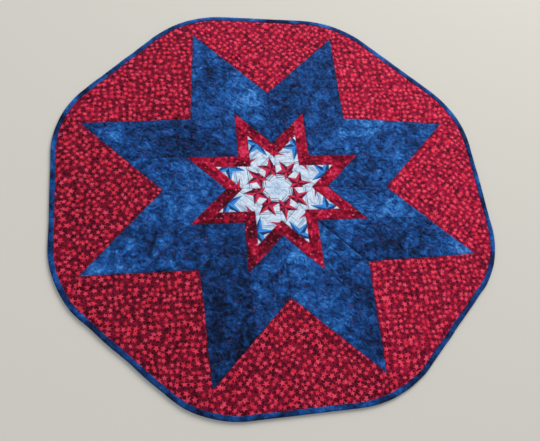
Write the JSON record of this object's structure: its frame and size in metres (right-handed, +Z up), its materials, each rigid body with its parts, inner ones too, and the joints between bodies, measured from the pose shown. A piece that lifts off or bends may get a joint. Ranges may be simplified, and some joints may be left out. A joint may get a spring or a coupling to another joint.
{
  "type": "quilted table topper",
  "caption": "Flat quilted table topper: a pieced diamond star in navy, crimson and white on a red star-print octagonal ground, free-motion quilted and bound in navy.",
  "frame": {"origin": "on the flat underside, below the middle of the star", "axes": "+Z up, away from the table; the star's points lie between the axes, the first a little over 21 degrees round from +X"},
  "size_m": [0.7197, 0.7179, 0.0058],
  "materials": {
    "white_print": "matte printed quilting cotton, white with slate lines and red and blue stars",
    "red_tonal": "matte tone-on-tone crimson quilting cotton",
    "navy_mottle": "matte mottled navy quilting cotton",
    "star_print": "matte quilting cotton printed with small red stars on dark red",
    "binding_navy": "matte mottled navy quilting cotton, folded",
    "backing_navy": "matte plain-woven cotton"
  },
  "bodies": {
    "root": {"quilted_body": "backing_navy", "binding": "binding_navy", "white_diamond_1": "white_print", "white_diamond_2": "white_print", "white_diamond_3": "white_print", "white_diamond_4": "white_print", "white_diamond_5": "white_print", "white_diamond_6": "white_print", "white_diamond_7": "white_print", "white_diamond_8": "white_print", "red_strip_first_1": "red_tonal", "red_strip_first_2": "red_tonal", "red_strip_first_3": "red_tonal", "red_strip_first_4": "red_tonal", "red_strip_first_5": "red_tonal", "red_strip_first_6": "red_tonal", "red_strip_first_7": "red_tonal", "red_strip_first_8": "red_tonal", "red_strip_second_1": "red_tonal", "red_strip_second_2": "red_tonal", "red_strip_second_3": "red_tonal", "red_strip_second_4": "red_tonal", "red_strip_second_5": "red_tonal", "red_strip_second_6": "red_tonal", "red_strip_second_7": "red_tonal", "red_strip_second_8": "red_tonal", "blue_strip_first_1": "navy_mottle", "blue_strip_first_2": "navy_mottle", "blue_strip_first_3": "navy_mottle", "blue_strip_first_4": "navy_mottle", "blue_strip_first_5": "navy_mottle", "blue_strip_first_6": "navy_mottle", "blue_strip_first_7": "navy_mottle", "blue_strip_first_8": "navy_mottle", "blue_strip_second_1": "navy_mottle", "blue_strip_second_2": "navy_mottle", "blue_strip_second_3": "navy_mottle", "blue_strip_second_4": "navy_mottle", "blue_strip_second_5": "navy_mottle", "blue_strip_second_6": "navy_mottle", "blue_strip_second_7": "navy_mottle", "blue_strip_second_8": "navy_mottle", "ground_patch_1": "star_print", "ground_patch_2": "star_print", "ground_patch_3": "star_print", "ground_patch_4": "star_print", "ground_patch_5": "star_print", "ground_patch_6": "star_print", "ground_patch_7": "star_print", "ground_patch_8": "star_print"}
  },
  "joints": []
}
